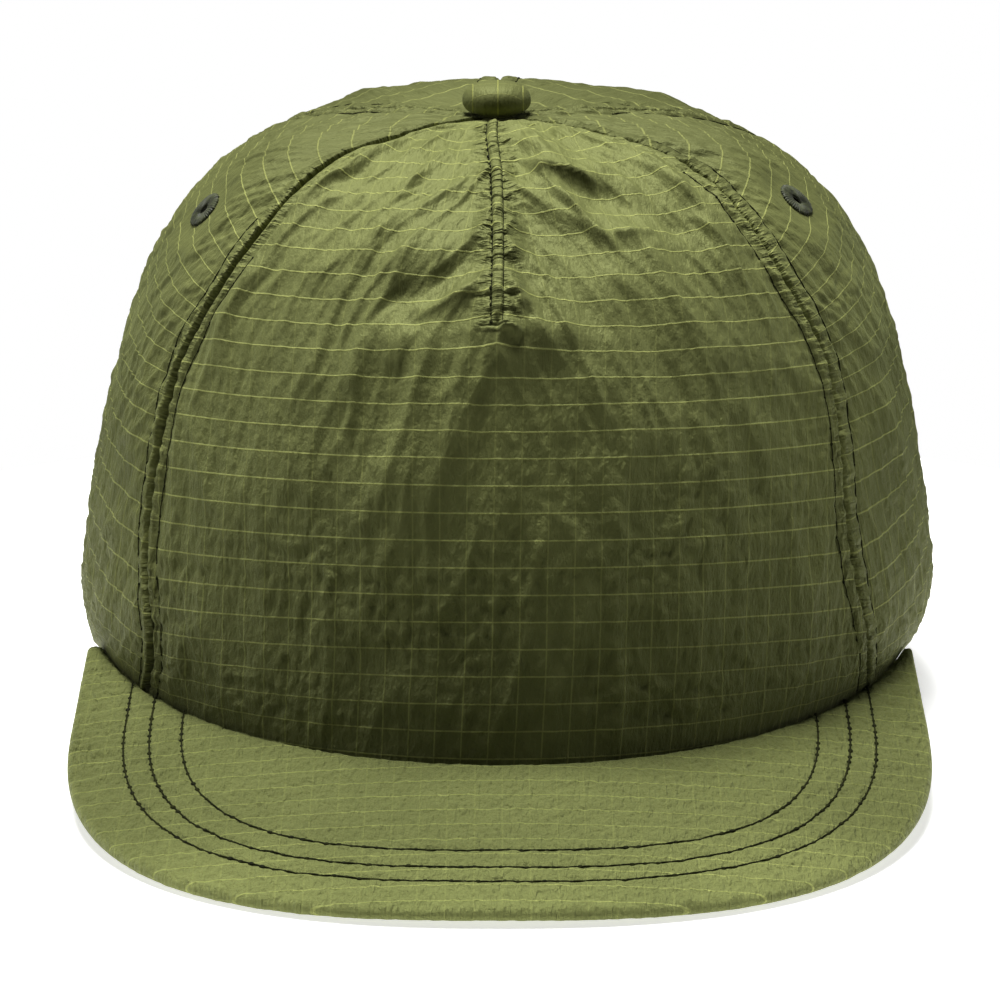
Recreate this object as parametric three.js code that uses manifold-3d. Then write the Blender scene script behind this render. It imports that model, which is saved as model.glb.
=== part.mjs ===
// A flat bill cap with a soft five piece crown, in millimetres.
// Seen from the front, +x is right. The bill points towards -y, and the cap rests on z = 0.
import * as THREE from "three";
import { mergeVertices } from "three/addons/utils/BufferGeometryUtils.js";
import Module from "manifold-3d";

// Driving dimensions
const CLOTH = 1.3; // wall of the crown
const GAP = 0.3; // between neighbouring pieces
const BILL_THICKNESS = 2.6;
const BILL_HALF_WIDTH = 90.3;
const BILL_SHIFT = -0.5; // the bill's middle lies this far beside the crown's
const BILL_FRONT = 157; // reach of the bill in front of the crown's axis
const BILL_CORNER_START = 68; // where the straight sides of the bill begin to round off
const BILL_CORNER_POWER = 2.45; // squareness of the bill's front corners, 2 is an ellipse
const BILL_TIP_REACH = 32; // the bill's wings end this far in front of the axis
const BILL_SLOPE = 8.5; // degrees down towards the front
const BILL_SAG = 6; // drop of the arched bill at SAG_HALF_WIDTH
const SAG_HALF_WIDTH = 88;
const JOIN_REACH = 95; // the bill's top surface passes JOIN_HEIGHT here
const JOIN_HEIGHT = 12.4;
const RIM_FLAT_FROM = 106; // degrees from the front, behind which the rim lies flat on the floor
const BUTTON_RADIUS = 7.5;
const BUTTON_HEIGHT = 7.2;
const BUTTON_LIP = 1.6; // height of the button's widest level above its underside
const BUTTON_UNDERCUT = 0.8;
const SHANK_RADIUS = 2.5;
const EYELET_RADIUS = 4.3;
const EYELET_BORE = 1.2;
const EYELET_HEIGHT = 1.9;

// Level sections of the crown, from the rim up to the hole for the button.
// arc: length along the front; front, side, back: reach from the axis; high*: height there; shift: sideways
const SECTIONS = [
  { arc: 0, front: 97.4, highFront: 9.7, side: 92, highSide: 6, back: 92, highBack: 0, shift: 0 },
  { arc: 22, front: 92.7, highFront: 31.5, side: 94.6, highSide: 24, back: 94.5, highBack: 22, shift: 1.2 },
  { arc: 44, front: 87.4, highFront: 53, side: 91.3, highSide: 48, back: 94, highBack: 46, shift: 1.4 },
  { arc: 66, front: 80.3, highFront: 74, side: 86.6, highSide: 71, back: 91, highBack: 70, shift: 1.6 },
  { arc: 88, front: 70, highFront: 93, side: 79.6, highSide: 92, back: 83, highBack: 94, shift: 1.8 },
  { arc: 110, front: 54.5, highFront: 109.5, side: 68, highSide: 110.3, back: 69, highBack: 112.5, shift: 1.6 },
  { arc: 132, front: 35.5, highFront: 120.3, side: 50.5, highSide: 122.3, back: 51, highBack: 125, shift: 0.6 },
  { arc: 149, front: 19.7, highFront: 125, side: 27.5, highSide: 126.2, back: 27, highBack: 129.3, shift: -1.2 },
  { arc: 160, front: 8.5, highFront: 127, side: 8.8, highSide: 127.3, back: 9.5, highBack: 127.4, shift: -1.2 },
  { arc: 165.5, front: 3, highFront: 127.3, side: 3, highSide: 127.3, back: 3, highBack: 127.3, shift: -1.2 },
];

// Seams of the crown: azimuth in degrees from the front at the given arc, positive towards +x
const SEAMS = [
  { arc: 0, frontLeft: -56, frontRight: 58, backLeft: -112, backRight: 111 },
  { arc: 20, frontLeft: -53, frontRight: 53.5, backLeft: -112, backRight: 111 },
  { arc: 40, frontLeft: -56.5, frontRight: 51.5, backLeft: -112, backRight: 111 },
  { arc: 75, frontLeft: -57, frontRight: 53, backLeft: -112, backRight: 111 },
  { arc: 105, frontLeft: -50.5, frontRight: 49, backLeft: -112, backRight: 111 },
  { arc: 130, frontLeft: -47.5, frontRight: 48.5, backLeft: -112, backRight: 111 },
  { arc: 165.5, frontLeft: -44, frontRight: 49, backLeft: -112, backRight: 111 },
];

// Soft folds of the cloth: a line from one place to another, azimuth in degrees and arc in mm,
// with its half width and its height, which is negative for a valley
const FOLDS = [
  { name: "dart", azimuth: -2, arc: 165, toAzimuth: -2, toArc: 91, width: 4, height: 1 },
  { name: "below the dart", azimuth: 0, arc: 99, toAzimuth: 5, toArc: 89, width: 6, height: 1.6 },
  { name: "left of the button", azimuth: -21, arc: 147, toAzimuth: -27, toArc: 110, width: 5, height: 1 },
  { name: "left of the dart, top", azimuth: -6, arc: 131, toAzimuth: -19, toArc: 116, width: 5, height: 1.2 },
  { name: "left of the dart, mid", azimuth: -6, arc: 117, toAzimuth: -19, toArc: 104, width: 5, height: 1 },
  { name: "left of the dart, long", azimuth: -18, arc: 105, toAzimuth: -23, toArc: 80, width: 6, height: 1 },
  { name: "left hollow", azimuth: -5, arc: 106, toAzimuth: -17, toArc: 97, width: 4, height: -1.2 },
  { name: "left of the dart's end", azimuth: -4, arc: 99, toAzimuth: -17, toArc: 87, width: 5, height: 1.2 },
  { name: "low left", azimuth: -12, arc: 84, toAzimuth: -15, toArc: 61, width: 6, height: 0.9 },
  { name: "low middle", azimuth: -3, arc: 87, toAzimuth: -8, toArc: 69, width: 6, height: 0.8 },
  { name: "along the left seam", azimuth: -40, arc: 137, toAzimuth: -50, toArc: 89, width: 5, height: 1 },
  { name: "right of the button", azimuth: 10, arc: 152, toAzimuth: 6, toArc: 126, width: 6, height: 1.2 },
  { name: "right of the dart, top", azimuth: 15, arc: 142, toAzimuth: 24, toArc: 127, width: 5, height: 1.2 },
  { name: "right of the dart", azimuth: 11, arc: 123, toAzimuth: 25, toArc: 109, width: 5, height: 1.4 },
  { name: "right hollow", azimuth: 17, arc: 126, toAzimuth: 35, toArc: 111, width: 5, height: -1.2 },
  { name: "low right", azimuth: 10, arc: 89, toAzimuth: 18, toArc: 67, width: 6, height: 1.2 },
  { name: "far right", azimuth: 22, arc: 101, toAzimuth: 30, toArc: 85, width: 6, height: 1 },
  { name: "along the right seam", azimuth: 38, arc: 147, toAzimuth: 40, toArc: 111, width: 5, height: 1 },
  { name: "left side, front", azimuth: -66, arc: 128, toAzimuth: -66, toArc: 60, width: 7, height: 1 },
  { name: "left side, rear", azimuth: -98, arc: 120, toAzimuth: -90, toArc: 40, width: 8, height: 0.7 },
  { name: "right side, front", azimuth: 63, arc: 126, toAzimuth: 66, toArc: 58, width: 7, height: 1 },
  { name: "right side, rear", azimuth: 97, arc: 118, toAzimuth: 91, toArc: 38, width: 8, height: 0.7 },
  { name: "back left, high", azimuth: -138, arc: 140, toAzimuth: -146, toArc: 80, width: 8, height: 1.2 },
  { name: "back right, high", azimuth: 135, arc: 136, toAzimuth: 148, toArc: 74, width: 8, height: 1.2 },
  { name: "back left, low", azimuth: -128, arc: 60, toAzimuth: -160, toArc: 34, width: 8, height: 1 },
  { name: "back right, low", azimuth: 130, arc: 64, toAzimuth: 162, toArc: 40, width: 8, height: 1 },
];

// Places of the two eyelets
const EYELETS = [
  { name: "eyelet_left", azimuth: -74, arc: 109 },
  { name: "eyelet_right", azimuth: 70, arc: 113 },
];

const ROWS = 22; // steps of a panel from the rim to the top
const FRONT_COLUMNS = 32;
const SIDE_COLUMNS = 14;
const BACK_COLUMNS = 14;
const TOP_ARC = SECTIONS[SECTIONS.length - 1].arc;
const RADIANS = Math.PI / 180;

// Height of the bill's top surface, a slope with a slight arch
function billTop(x, y) {
  const slope = Math.tan(BILL_SLOPE * RADIANS) * (y + JOIN_REACH);
  return JOIN_HEIGHT + slope - BILL_SAG * (x / SAG_HALF_WIDTH) ** 2;
}

function smooth(t) {
  const s = Math.min(1, Math.max(0, t));
  return s * s * (3 - 2 * s);
}

// A row of the table as a point of the crown at an azimuth; the lowest row is the rim
function sectionPoint(section, azimuth) {
  const c = Math.cos(azimuth);
  const x = section.side * Math.sin(azimuth) + section.shift;
  const y = c > 0 ? -section.front * c : -section.back * c;
  const end = c > 0 ? section.highFront : section.highBack;
  const z = section.arc > 0 ? section.highSide + (end - section.highSide) * c * c : rimHeight(azimuth);
  return new THREE.Vector3(x, y, z);
}

// The rim is level with the bill's underside in front and comes down to the floor behind it
function rimHeight(azimuth) {
  const rim = SECTIONS[0];
  const tip = Math.acos(BILL_TIP_REACH / rim.front);
  const held = Math.min(Math.abs(azimuth), tip);
  const under = billTop(rim.side * Math.sin(held), -rim.front * Math.cos(held)) - BILL_THICKNESS;
  const flat = RIM_FLAT_FROM * RADIANS;
  return under * smooth((flat - Math.abs(azimuth)) / (flat - tip));
}

// Smooth curve through the table's rows, by cubic pieces
function interpolate(rows, arc, value, blend) {
  let i = 0;
  while (i < rows.length - 2 && arc > rows[i + 1].arc) i += 1;
  const [a, b] = [rows[i], rows[i + 1]];
  const before = rows[Math.max(0, i - 1)];
  const after = rows[Math.min(rows.length - 1, i + 2)];
  const span = b.arc - a.arc;
  const t = (arc - a.arc) / span;
  const slopeA = span / (b.arc - before.arc);
  const slopeB = span / (after.arc - a.arc);
  const [va, vb, v0, v3] = [value(a), value(b), value(before), value(after)];
  const h1 = t * t * (3 - 2 * t);
  const h2 = t * (1 - t) * (1 - t);
  const h3 = t * t * (t - 1);
  return blend([va, vb, v0, v3], [1 - h1 - h3 * slopeB, h1 + h2 * slopeA, -h2 * slopeA, h3 * slopeB]);
}

const blendPoints = (p, w) =>
  p.reduce((sum, point, k) => sum.addScaledVector(point, w[k]), new THREE.Vector3());
const blendNumbers = (v, w) => v.reduce((sum, number, k) => sum + number * w[k], 0);

function smoothCrown(azimuth, arc) {
  return interpolate(SECTIONS, arc, (row) => sectionPoint(row, azimuth), blendPoints);
}

function seamAt(name, arc) {
  return interpolate(SEAMS, arc, (row) => row[name], blendNumbers) * RADIANS;
}

// Each fold as a short line in space that follows the crown; folds fade out at the rim and the button
const FOLD_STEPS = 6;
const RIM_FADE = 12;
const TOP_FADE = 14;
const foldLines = FOLDS.map((fold) => {
  const points = [];
  for (let k = 0; k <= FOLD_STEPS; k += 1) {
    const t = k / FOLD_STEPS;
    const azimuth = THREE.MathUtils.lerp(fold.azimuth, fold.toAzimuth, t) * RADIANS;
    points.push(smoothCrown(azimuth, THREE.MathUtils.lerp(fold.arc, fold.toArc, t)));
  }
  return { ...fold, points };
});

function foldHeight(point, arc) {
  const nearest = new THREE.Vector3();
  const line = new THREE.Line3();
  let height = 0;
  for (const fold of foldLines) {
    let distance = Infinity;
    for (let k = 0; k < FOLD_STEPS; k += 1) {
      line.set(fold.points[k], fold.points[k + 1]).closestPointToPoint(point, true, nearest);
      distance = Math.min(distance, nearest.distanceTo(point));
    }
    height += fold.height * Math.exp(-((distance / fold.width) ** 2));
  }
  return height * smooth(arc / RIM_FADE) * smooth((TOP_ARC - arc) / TOP_FADE);
}

// The outward normal, from points a small step apart on the surface
const TURN_STEP = 0.02;
const ARC_STEP = 0.4;

function normalOf(surface, azimuth, arc) {
  const low = Math.max(0, arc - ARC_STEP);
  const high = Math.min(TOP_ARC, arc + ARC_STEP);
  const across = surface(azimuth + TURN_STEP, arc).sub(surface(azimuth - TURN_STEP, arc));
  const along = surface(azimuth, high).sub(surface(azimuth, low));
  return across.cross(along).normalize();
}

function crown(azimuth, arc) {
  const point = smoothCrown(azimuth, arc);
  const height = foldHeight(point, arc);
  return point.addScaledVector(normalOf(smoothCrown, azimuth, arc), height);
}

// Outer and inner point of the cloth; at the rim the wall is cut level
function clothPair(azimuth, arc) {
  const outer = crown(azimuth, arc);
  const normal = normalOf(crown, azimuth, arc);
  if (arc === 0) normal.setZ(0).normalize();
  return [outer, outer.clone().addScaledVector(normal, -CLOTH)];
}

// A closed wall from two grids of points, outer and inner, of the same size
function wallGeometry(outer, inner) {
  const rows = outer.length;
  const columns = outer[0].length;
  const positions = [...outer, ...inner].flat().flatMap((p) => [p.x, p.y, p.z]);
  const at = (r, c) => r * columns + c;
  const offset = rows * columns;
  const index = [];
  const quad = (a, b, c, d) => index.push(a, b, c, a, c, d);
  for (let r = 0; r < rows - 1; r += 1) {
    for (let c = 0; c < columns - 1; c += 1) {
      quad(at(r, c), at(r, c + 1), at(r + 1, c + 1), at(r + 1, c));
      quad(offset + at(r, c), offset + at(r + 1, c), offset + at(r + 1, c + 1), offset + at(r, c + 1));
    }
    const last = columns - 1;
    quad(at(r, 0), at(r + 1, 0), offset + at(r + 1, 0), offset + at(r, 0));
    quad(at(r, last), offset + at(r, last), offset + at(r + 1, last), at(r + 1, last));
  }
  for (let c = 0; c < columns - 1; c += 1) {
    const last = rows - 1;
    quad(at(0, c), offset + at(0, c), offset + at(0, c + 1), at(0, c + 1));
    quad(at(last, c), at(last, c + 1), offset + at(last, c + 1), offset + at(last, c));
  }
  const geometry = new THREE.BufferGeometry();
  geometry.setAttribute("position", new THREE.Float32BufferAttribute(positions, 3));
  geometry.setIndex(index);
  return geometry;
}

// Half the gap between two panels, as an angle at a place on their seam
function seamClearance(seam, arc) {
  const step = RADIANS;
  const length = smoothCrown(seam + step, arc).distanceTo(smoothCrown(seam, arc));
  return (GAP / 2) * (step / length);
}

// One panel of the crown between two seams, given as functions of the arc
function panelGeometry(seamFrom, seamTo, columns) {
  const outer = [];
  const inner = [];
  for (let r = 0; r <= ROWS; r += 1) {
    const arc = (TOP_ARC * r) / ROWS;
    const start = seamFrom(arc) + seamClearance(seamFrom(arc), arc);
    const end = seamTo(arc) - seamClearance(seamTo(arc), arc);
    const pairs = [];
    for (let c = 0; c <= columns; c += 1) {
      pairs.push(clothPair(THREE.MathUtils.lerp(start, end, c / columns), arc));
    }
    outer.push(pairs.map((pair) => pair[0]));
    inner.push(pairs.map((pair) => pair[1]));
  }
  return wallGeometry(outer, inner);
}

// The bill: a closed skin lofted along its outline, from one wing to the other
const BILL_SIDE_STEPS = 5;
const BILL_FRONT_STEPS = 36;
const BILL_CROSS_STEPS = 4;
const EDGE_STEPS = 4;
const JOIN_TRIES = 12; // small corrections that bring a point onto the crown's wall

function billOutline() {
  const points = [];
  for (let k = 0; k < BILL_SIDE_STEPS; k += 1) {
    const reach = THREE.MathUtils.lerp(BILL_TIP_REACH, BILL_CORNER_START, k / BILL_SIDE_STEPS);
    points.push(new THREE.Vector2(BILL_SHIFT - BILL_HALF_WIDTH, -reach));
  }
  const power = 2 / BILL_CORNER_POWER;
  const depth = BILL_FRONT - BILL_CORNER_START;
  for (let k = 0; k <= BILL_FRONT_STEPS; k += 1) {
    const turn = (-90 + (180 * k) / BILL_FRONT_STEPS) * RADIANS;
    const x = BILL_SHIFT + BILL_HALF_WIDTH * Math.sign(turn) * Math.abs(Math.sin(turn)) ** power;
    const y = -BILL_CORNER_START - depth * Math.abs(Math.cos(turn)) ** power;
    points.push(new THREE.Vector2(x, y));
  }
  for (let k = 0; k < BILL_SIDE_STEPS; k += 1) {
    points.push(new THREE.Vector2(BILL_SHIFT + BILL_HALF_WIDTH, points[BILL_SIDE_STEPS - 1 - k].y));
  }
  return points;
}

// Where a ray from the axis towards a point of the outline meets the crown's wall, at the height of
// the bill's top surface or of its underside
function wallPoint(target, depth) {
  const wanted = Math.atan2(target.x, -target.y);
  let azimuth = wanted;
  let arc = depth > 0 ? 0 : BILL_THICKNESS;
  let point = crown(azimuth, arc);
  for (let k = 0; k < JOIN_TRIES; k += 1) {
    azimuth += wanted - Math.atan2(point.x, -point.y);
    if (depth === 0) arc = Math.max(0, arc + billTop(point.x, point.y) - point.z);
    point = crown(azimuth, arc);
  }
  const flat = new THREE.Vector2(point.x, point.y);
  return flat.addScaledVector(flat.clone().normalize(), GAP);
}

// One section through the bill: over the top, round the edge and back below
function billSection(rim, inward) {
  const round = BILL_THICKNESS / 2;
  const section = [];
  const place = (flat, depth) => {
    section.push(new THREE.Vector3(flat.x, flat.y, billTop(flat.x, flat.y) - depth));
  };
  const shoulder = rim.clone().addScaledVector(inward, round);
  const high = wallPoint(rim, 0);
  const low = wallPoint(rim, BILL_THICKNESS);
  for (let s = 0; s < BILL_CROSS_STEPS; s += 1) place(high.clone().lerp(shoulder, s / BILL_CROSS_STEPS), 0);
  for (let s = 0; s <= EDGE_STEPS; s += 1) {
    const turn = Math.PI * (s / EDGE_STEPS);
    const edge = rim.clone().addScaledVector(inward, round * (1 - Math.sin(turn)));
    place(edge, round * (1 - Math.cos(turn)));
  }
  for (let s = BILL_CROSS_STEPS - 1; s >= 0; s -= 1) {
    place(low.clone().lerp(shoulder, s / BILL_CROSS_STEPS), BILL_THICKNESS);
  }
  return section;
}

// The bill's skin with a flat cap on each wing's end
function billGeometry() {
  const outline = billOutline();
  const sections = outline.map((rim, k) => {
    const before = outline[Math.max(0, k - 1)];
    const after = outline[Math.min(outline.length - 1, k + 1)];
    const tangent = after.clone().sub(before).normalize();
    return billSection(rim, new THREE.Vector2(-tangent.y, tangent.x));
  });
  const size = sections[0].length;
  const index = [];
  for (let k = 0; k < sections.length - 1; k += 1) {
    for (let s = 0; s < size; s += 1) {
      const next = (s + 1) % size;
      const [a, b, c, d] = [k * size + s, k * size + next, (k + 1) * size + next, (k + 1) * size + s];
      index.push(a, b, c, a, c, d);
    }
  }
  const last = (sections.length - 1) * size;
  const nose = BILL_CROSS_STEPS + EDGE_STEPS / 2;
  for (let s = 0; s < size; s += 1) {
    const next = (s + 1) % size;
    if (s === nose || next === nose) continue;
    index.push(nose, next, s, last + nose, last + s, last + next);
  }
  const positions = sections.flat().flatMap((p) => [p.x, p.y, p.z]);
  const geometry = new THREE.BufferGeometry();
  geometry.setAttribute("position", new THREE.Float32BufferAttribute(positions, 3));
  geometry.setIndex(index);
  return geometry;
}

// A solid of revolution about z from radius and height pairs
function turned(profile, sides) {
  const points = profile.map(([radius, height]) => new THREE.Vector2(radius, height));
  return new THREE.LatheGeometry(points, sides).rotateX(Math.PI / 2);
}

const BUTTON_SIDES = 32;
const BUTTON_STEPS = 6;

function buttonGeometry() {
  const seat = SECTIONS[SECTIONS.length - 1].highFront;
  const foot = seat - CLOTH - GAP;
  const profile = [
    [0, foot],
    [SHANK_RADIUS, foot],
    [SHANK_RADIUS, seat + GAP],
    [BUTTON_RADIUS - BUTTON_UNDERCUT, seat + GAP],
  ];
  for (let k = 0; k <= BUTTON_STEPS; k += 1) {
    const turn = (Math.PI / 2) * (k / BUTTON_STEPS);
    const rise = BUTTON_LIP + (BUTTON_HEIGHT - BUTTON_LIP) * Math.sin(turn);
    profile.push([k < BUTTON_STEPS ? BUTTON_RADIUS * Math.cos(turn) : 0, seat + GAP + rise]);
  }
  return turned(profile, BUTTON_SIDES).translate(SECTIONS[SECTIONS.length - 1].shift, 0, 0);
}

const EYELET_SIDES = 24;
const EYELET_STEPS = 8;
const HOLE_LENGTH = 8 * CLOTH; // long enough to pass through the wall

// Stands an upright solid on the crown at an eyelet's place, along the cloth's normal
function onCrown(geometry, eyelet) {
  const azimuth = eyelet.azimuth * RADIANS;
  const [outer, inner] = clothPair(azimuth, eyelet.arc);
  const normal = outer.clone().sub(inner).normalize();
  const middle = outer.clone().lerp(inner, 0.5);
  const turn = new THREE.Quaternion().setFromUnitVectors(new THREE.Vector3(0, 0, 1), normal);
  return geometry.applyQuaternion(turn).translate(middle.x, middle.y, middle.z);
}

function eyeletGeometry(eyelet) {
  const half = (EYELET_RADIUS - EYELET_BORE) / 2;
  const profile = [];
  for (let k = 0; k <= EYELET_STEPS; k += 1) {
    const turn = 2 * Math.PI * (k / EYELET_STEPS);
    profile.push([EYELET_BORE + half + half * Math.cos(turn), (EYELET_HEIGHT / 2) * Math.sin(turn)]);
  }
  return onCrown(turned(profile, EYELET_SIDES), eyelet);
}

function eyeletHole(eyelet) {
  const radius = EYELET_RADIUS + GAP;
  const hole = new THREE.CylinderGeometry(radius, radius, HOLE_LENGTH, EYELET_SIDES);
  return onCrown(hole.rotateX(Math.PI / 2), eyelet);
}

const wasm = await Module();
wasm.setup();

// One geometry as a manifold solid and back
function solidOf(geometry) {
  const bare = new THREE.BufferGeometry();
  bare.setAttribute("position", geometry.getAttribute("position"));
  bare.setIndex(geometry.getIndex());
  const merged = mergeVertices(bare, 1e-4);
  return new wasm.Manifold(
    new wasm.Mesh({
      numProp: 3,
      vertProperties: merged.getAttribute("position").array,
      triVerts: new Uint32Array(merged.getIndex().array),
    }),
  );
}

function geometryOf(solid) {
  const mesh = solid.getMesh();
  const geometry = new THREE.BufferGeometry();
  geometry.setAttribute("position", new THREE.BufferAttribute(mesh.vertProperties, 3));
  geometry.setIndex(new THREE.BufferAttribute(mesh.triVerts, 1));
  return geometry;
}

function pierced(geometry, eyelet) {
  return geometryOf(solidOf(geometry).subtract(solidOf(eyeletHole(eyelet))));
}

const look = (name, color) => new THREE.MeshStandardMaterial({ name, color, roughness: 0.85 });
const crownCloth = look("crown_cloth", 0x6b7440);
const billCloth = look("bill_cloth", 0x747f48);
const buttonCloth = look("button_cloth", 0x656e3c);
const thread = look("thread", 0x2c3320);
const cap = new THREE.Group();

function add(name, geometry, material) {
  const mesh = new THREE.Mesh(geometry, material.clone());
  mesh.name = name;
  cap.add(mesh);
}

const seam = (name) => (arc) => seamAt(name, arc);
const rear = (side) => () => side * Math.PI;
const front = panelGeometry(seam("frontLeft"), seam("frontRight"), FRONT_COLUMNS);
const sideLeft = panelGeometry(seam("backLeft"), seam("frontLeft"), SIDE_COLUMNS);
const sideRight = panelGeometry(seam("frontRight"), seam("backRight"), SIDE_COLUMNS);

add("front_panel", front, crownCloth);
add("side_panel_left", pierced(sideLeft, EYELETS[0]), crownCloth);
add("side_panel_right", pierced(sideRight, EYELETS[1]), crownCloth);
add("back_panel_left", panelGeometry(rear(-1), seam("backLeft"), BACK_COLUMNS), crownCloth);
add("back_panel_right", panelGeometry(seam("backRight"), rear(1), BACK_COLUMNS), crownCloth);
add("bill", billGeometry(), billCloth);
add("top_button", buttonGeometry(), buttonCloth);
for (const eyelet of EYELETS) add(eyelet.name, eyeletGeometry(eyelet), thread);

// The origin is the middle of the footprint, on the floor
const box = new THREE.Box3().setFromObject(cap);
const middle = box.getCenter(new THREE.Vector3());
cap.position.set(-middle.x, -middle.y, -box.min.z);

export default cap;
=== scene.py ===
"""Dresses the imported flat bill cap: crumpled ripstop panels, sewn seams, thread, eyelets and button.

Lengths are in millimetres until a mesh is made. Azimuth 0 is the front of the crown, positive towards +x,
and arc is the length up the cloth from the rim.
"""
import math

import bpy
import numpy as np
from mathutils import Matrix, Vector


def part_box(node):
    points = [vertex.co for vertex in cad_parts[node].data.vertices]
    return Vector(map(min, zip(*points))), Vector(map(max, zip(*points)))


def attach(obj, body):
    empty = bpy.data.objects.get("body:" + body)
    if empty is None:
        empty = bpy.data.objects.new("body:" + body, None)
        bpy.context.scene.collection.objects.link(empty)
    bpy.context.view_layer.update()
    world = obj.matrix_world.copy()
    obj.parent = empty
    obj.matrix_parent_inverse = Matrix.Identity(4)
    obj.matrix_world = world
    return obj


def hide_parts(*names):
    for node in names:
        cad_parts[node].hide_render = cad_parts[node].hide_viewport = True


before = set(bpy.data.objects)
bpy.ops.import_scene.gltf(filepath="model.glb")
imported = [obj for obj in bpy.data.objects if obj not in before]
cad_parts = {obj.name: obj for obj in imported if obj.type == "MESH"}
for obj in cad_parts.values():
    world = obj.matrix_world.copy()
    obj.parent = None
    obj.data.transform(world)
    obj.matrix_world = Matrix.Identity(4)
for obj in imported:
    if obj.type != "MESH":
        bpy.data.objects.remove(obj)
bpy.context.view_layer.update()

MM = 0.001
CLOTH = 1.3
GAP = 0.1
CELL = 5.5
FIRST_ROW = 3.0

# Level sections of the crown, as the part has them
SECTION_COLUMNS = ("arc", "front", "high_front", "side", "high_side", "back", "high_back", "shift")
SECTIONS = [
    (0, 97.4, 9.7, 92, 6, 92, 0, 0),
    (22, 92.7, 31.5, 94.6, 24, 94.5, 22, 1.2),
    (44, 87.4, 53, 91.3, 48, 94, 46, 1.4),
    (66, 80.3, 74, 86.6, 71, 91, 70, 1.6),
    (88, 70, 93, 79.6, 92, 83, 94, 1.8),
    (110, 54.5, 109.5, 68, 110.3, 69, 112.5, 1.6),
    (132, 35.5, 120.3, 50.5, 122.3, 51, 125, 0.6),
    (149, 19.7, 125, 27.5, 126.2, 27, 129.3, -1.2),
    (160, 8.5, 127, 8.8, 127.3, 9.5, 127.4, -1.2),
    (165.5, 3, 127.3, 3, 127.3, 3, 127.3, -1.2),
]

# Azimuth of each seam in degrees at the given arc
SEAM_COLUMNS = ("arc", "front_left", "front_right", "back_left", "back_right", "rear_left", "rear_right")
SEAMS = [
    (0, -56, 58, -112, 111, -180, 180),
    (20, -53, 53.5, -112, 111, -180, 180),
    (40, -56.5, 51.5, -112, 111, -180, 180),
    (75, -57, 53, -112, 111, -180, 180),
    (105, -50.5, 49, -112, 111, -180, 180),
    (130, -47.5, 48.5, -112, 111, -180, 180),
    (165.5, -44, 49, -112, 111, -180, 180),
]

# Soft folds: azimuth and arc of both ends, half width, and height (negative for a valley)
FOLDS = [
    (-2, 165, -2, 91, 4, 1),
    (0, 99, 5, 89, 6, 1.6),
    (-21, 147, -27, 110, 5, 1),
    (-6, 131, -19, 116, 5, 1.2),
    (-6, 117, -19, 104, 5, 1),
    (-18, 105, -23, 80, 6, 1),
    (-5, 106, -17, 97, 4, -1.2),
    (-4, 99, -17, 87, 5, 1.2),
    (-12, 84, -15, 61, 6, 0.9),
    (-3, 87, -8, 69, 6, 0.8),
    (-40, 137, -50, 89, 5, 1),
    (10, 152, 6, 126, 6, 1.2),
    (15, 142, 24, 127, 5, 1.2),
    (11, 123, 25, 109, 5, 1.4),
    (17, 126, 35, 111, 5, -1.2),
    (10, 89, 18, 67, 6, 1.2),
    (22, 101, 30, 85, 6, 1),
    (38, 147, 40, 111, 5, 1),
    (-66, 128, -66, 60, 7, 1),
    (-98, 120, -90, 40, 8, 0.7),
    (63, 126, 66, 58, 7, 1),
    (97, 118, 91, 38, 8, 0.7),
    (-138, 140, -146, 80, 8, 1.2),
    (135, 136, 148, 74, 8, 1.2),
    (-128, 60, -160, 34, 8, 1),
    (130, 64, 162, 40, 8, 1),
]
FOLD_STEPS = 6
SOFT_POWER = 0.85

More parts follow.
